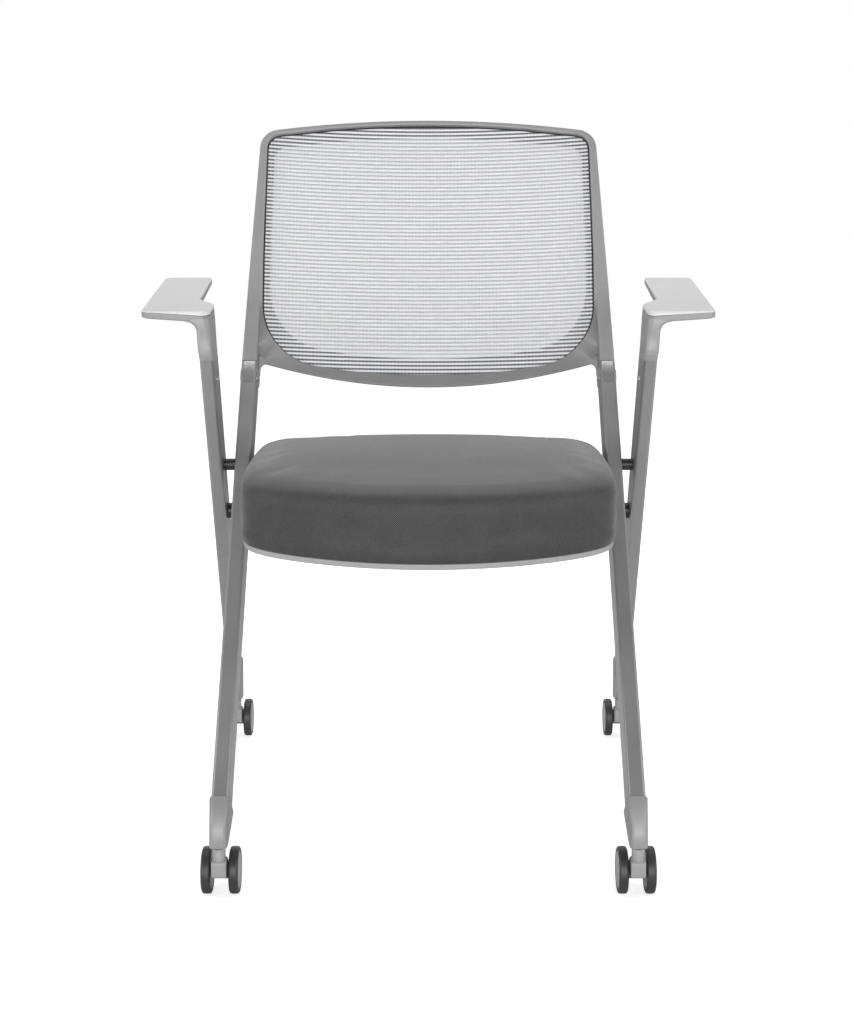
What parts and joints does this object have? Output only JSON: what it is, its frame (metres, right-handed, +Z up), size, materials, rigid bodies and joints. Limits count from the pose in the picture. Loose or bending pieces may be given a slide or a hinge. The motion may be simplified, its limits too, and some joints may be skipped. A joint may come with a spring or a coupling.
{
  "type": "nesting chair",
  "caption": "Nesting chair with crossed tube legs on twin-wheel casters, a padded seat that flips up on its cross tube, a mesh back and cantilevered arm pads.",
  "frame": {"origin": "on the floor under the middle of the chair's bounding box", "axes": "+Z up, +X to the right as seen from the front, +Y to the rear: the sitter faces -Y"},
  "size_m": [0.6798, 0.616, 0.8561],
  "materials": {
    "frame_paint": "matte silver-grey powder coat",
    "dark_steel": "satin black",
    "zinc_screws": "zinc plated",
    "grey_plastic": "fine matte grain",
    "pad_plastic": "fine matte grain",
    "pan_plastic": "fine matte grain",
    "mesh_fabric": "open ribbed net",
    "dark_rubber": "matte",
    "seat_fabric": "fine woven upholstery",
    "plywood": "raw birch",
    "nylon": "natural",
    "caster_plastic": "satin",
    "axle_steel": "plain",
    "tyre_rubber": "soft tread",
    "hub_plastic": "satin"
  },
  "bodies": {
    "frame": {"front_leg_left": "frame_paint", "front_leg_right": "frame_paint", "rear_leg_left": "frame_paint", "rear_leg_right": "frame_paint", "crossing_spacers": "dark_steel", "cross_tube": "dark_steel", "seat_rest_bar": "dark_steel", "frame_bolts": "zinc_screws", "front_shoe_left": "grey_plastic", "front_shoe_right": "grey_plastic", "rear_shoe_left": "grey_plastic", "rear_shoe_right": "grey_plastic", "caster_stems": "zinc_screws", "arm_neck_left": "grey_plastic", "arm_neck_right": "grey_plastic", "arm_pad_left": "pad_plastic", "arm_pad_right": "pad_plastic", "arm_screws": "zinc_screws", "back_collar_left": "frame_paint", "back_collar_right": "frame_paint", "back_frame": "grey_plastic", "back_rim": "grey_plastic", "back_mesh": "mesh_fabric", "mesh_welt": "dark_rubber", "back_screws": "zinc_screws"},
    "seat": {"seat_cushion": "seat_fabric", "seat_board": "plywood", "seat_pan": "pan_plastic", "seat_bracket_left": "dark_steel", "seat_bracket_right": "dark_steel", "seat_bushings": "nylon", "seat_bumpers": "dark_rubber", "seat_screws": "zinc_screws"},
    "front_left_caster": {"front_left_caster_body": "caster_plastic", "front_left_axle": "axle_steel"},
    "front_left_inner_wheel": {"front_left_inner_tyre": "tyre_rubber", "front_left_inner_hub": "hub_plastic"},
    "front_left_outer_wheel": {"front_left_outer_tyre": "tyre_rubber", "front_left_outer_hub": "hub_plastic"},
    "front_right_caster": {"front_right_caster_body": "caster_plastic", "front_right_axle": "axle_steel"},
    "front_right_inner_wheel": {"front_right_inner_tyre": "tyre_rubber", "front_right_inner_hub": "hub_plastic"},
    "front_right_outer_wheel": {"front_right_outer_tyre": "tyre_rubber", "front_right_outer_hub": "hub_plastic"},
    "rear_left_caster": {"rear_left_caster_body": "caster_plastic", "rear_left_axle": "axle_steel"},
    "rear_left_inner_wheel": {"rear_left_inner_tyre": "tyre_rubber", "rear_left_inner_hub": "hub_plastic"},
    "rear_left_outer_wheel": {"rear_left_outer_tyre": "tyre_rubber", "rear_left_outer_hub": "hub_plastic"},
    "rear_right_caster": {"rear_right_caster_body": "caster_plastic", "rear_right_axle": "axle_steel"},
    "rear_right_inner_wheel": {"rear_right_inner_tyre": "tyre_rubber", "rear_right_inner_hub": "hub_plastic"},
    "rear_right_outer_wheel": {"rear_right_outer_tyre": "tyre_rubber", "rear_right_outer_hub": "hub_plastic"}
  },
  "joints": [
    {"name": "seat_flip", "type": "hinge", "parent": "frame", "child": "seat", "pos_m": [0, 0.08545, 0.3625], "axis": [-1, 0, 0], "range_deg": [0, 72]},
    {"name": "front_left_swivel", "type": "hinge", "parent": "frame", "child": "front_left_caster", "pos_m": [-0.2295, -0.298, 0.05], "axis": [0, 0, 1], "continuous": true},
    {"name": "front_left_inner_wheel_spin", "type": "hinge", "parent": "front_left_caster", "child": "front_left_inner_wheel", "pos_m": [-0.2295, -0.28, 0.026], "axis": [1, 0, 0], "continuous": true},
    {"name": "front_left_outer_wheel_spin", "type": "hinge", "parent": "front_left_caster", "child": "front_left_outer_wheel", "pos_m": [-0.2295, -0.28, 0.026], "axis": [1, 0, 0], "continuous": true},
    {"name": "front_right_swivel", "type": "hinge", "parent": "frame", "child": "front_right_caster", "pos_m": [0.2295, -0.298, 0.05], "axis": [0, 0, 1], "continuous": true},
    {"name": "front_right_inner_wheel_spin", "type": "hinge", "parent": "front_right_caster", "child": "front_right_inner_wheel", "pos_m": [0.2295, -0.28, 0.026], "axis": [1, 0, 0], "continuous": true},
    {"name": "front_right_outer_wheel_spin", "type": "hinge", "parent": "front_right_caster", "child": "front_right_outer_wheel", "pos_m": [0.2295, -0.28, 0.026], "axis": [1, 0, 0], "continuous": true},
    {"name": "rear_left_swivel", "type": "hinge", "parent": "frame", "child": "rear_left_caster", "pos_m": [-0.271, 0.264, 0.05], "axis": [0, 0, 1], "continuous": true},
    {"name": "rear_left_inner_wheel_spin", "type": "hinge", "parent": "rear_left_caster", "child": "rear_left_inner_wheel", "pos_m": [-0.271, 0.282, 0.026], "axis": [1, 0, 0], "continuous": true},
    {"name": "rear_left_outer_wheel_spin", "type": "hinge", "parent": "rear_left_caster", "child": "rear_left_outer_wheel", "pos_m": [-0.271, 0.282, 0.026], "axis": [1, 0, 0], "continuous": true},
    {"name": "rear_right_swivel", "type": "hinge", "parent": "frame", "child": "rear_right_caster", "pos_m": [0.271, 0.264, 0.05], "axis": [0, 0, 1], "continuous": true},
    {"name": "rear_right_inner_wheel_spin", "type": "hinge", "parent": "rear_right_caster", "child": "rear_right_inner_wheel", "pos_m": [0.271, 0.282, 0.026], "axis": [1, 0, 0], "continuous": true},
    {"name": "rear_right_outer_wheel_spin", "type": "hinge", "parent": "rear_right_caster", "child": "rear_right_outer_wheel", "pos_m": [0.271, 0.282, 0.026], "axis": [1, 0, 0], "continuous": true}
  ]
}
